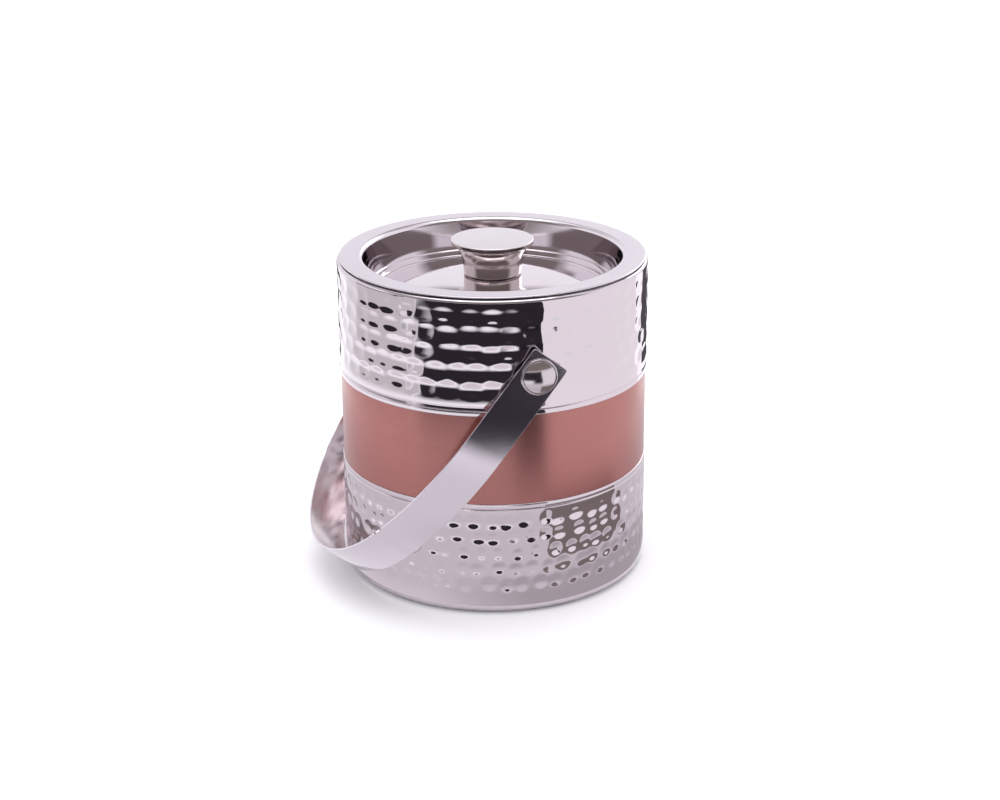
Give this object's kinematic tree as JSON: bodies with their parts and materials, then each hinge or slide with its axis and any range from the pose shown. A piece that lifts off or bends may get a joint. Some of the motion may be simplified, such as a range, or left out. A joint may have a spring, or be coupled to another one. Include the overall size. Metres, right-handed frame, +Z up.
{
  "type": "ice bucket",
  "caption": "Double-walled steel ice bucket with hammered sides, a copper band, a recessed lift-off lid with a turned knob, and a flat strap bail handle on two domed pivots.",
  "frame": {"origin": "centre of the flat base, on the surface that the bucket stands on", "axes": "+Z up the bucket's axis; the handle's pivot axis lies along X; the handle hangs towards -Y at rest"},
  "size_m": [0.1758, 0.1846, 0.1802],
  "materials": {
    "hammered_steel": "polished, hammered",
    "copper": "satin copper plate",
    "liner_steel": "satin",
    "lid_steel": "polished dish, satin flange",
    "knob_steel": "turned, satin top",
    "strap_steel": "fine satin",
    "pivot_steel": "polished",
    "fastener_steel": "bright"
  },
  "bodies": {
    "bucket": {"outer_shell": "hammered_steel", "copper_band": "copper", "inner_liner": "liner_steel", "right_pivot_bush": "fastener_steel", "right_cup_washer": "pivot_steel", "right_pivot_bolt": "pivot_steel", "right_saddle_washer": "fastener_steel", "right_pivot_nut": "fastener_steel", "left_pivot_bush": "fastener_steel", "left_cup_washer": "pivot_steel", "left_pivot_bolt": "pivot_steel", "left_saddle_washer": "fastener_steel", "left_pivot_nut": "fastener_steel"},
    "lid": {"lid_pan": "lid_steel", "lid_knob": "knob_steel", "knob_screw": "fastener_steel", "knob_washer": "fastener_steel"},
    "handle": {"handle_strap": "strap_steel"}
  },
  "joints": [
    {"name": "handle_swing", "type": "hinge", "parent": "bucket", "child": "handle", "pos_m": [0, 0, 0.1315], "axis": [-1, 0, 0], "range_deg": [0, 283]},
    {"name": "lid_lift", "type": "slide", "parent": "bucket", "child": "lid", "axis": [0, 0, 1], "range_m": [0, 0.12]}
  ]
}
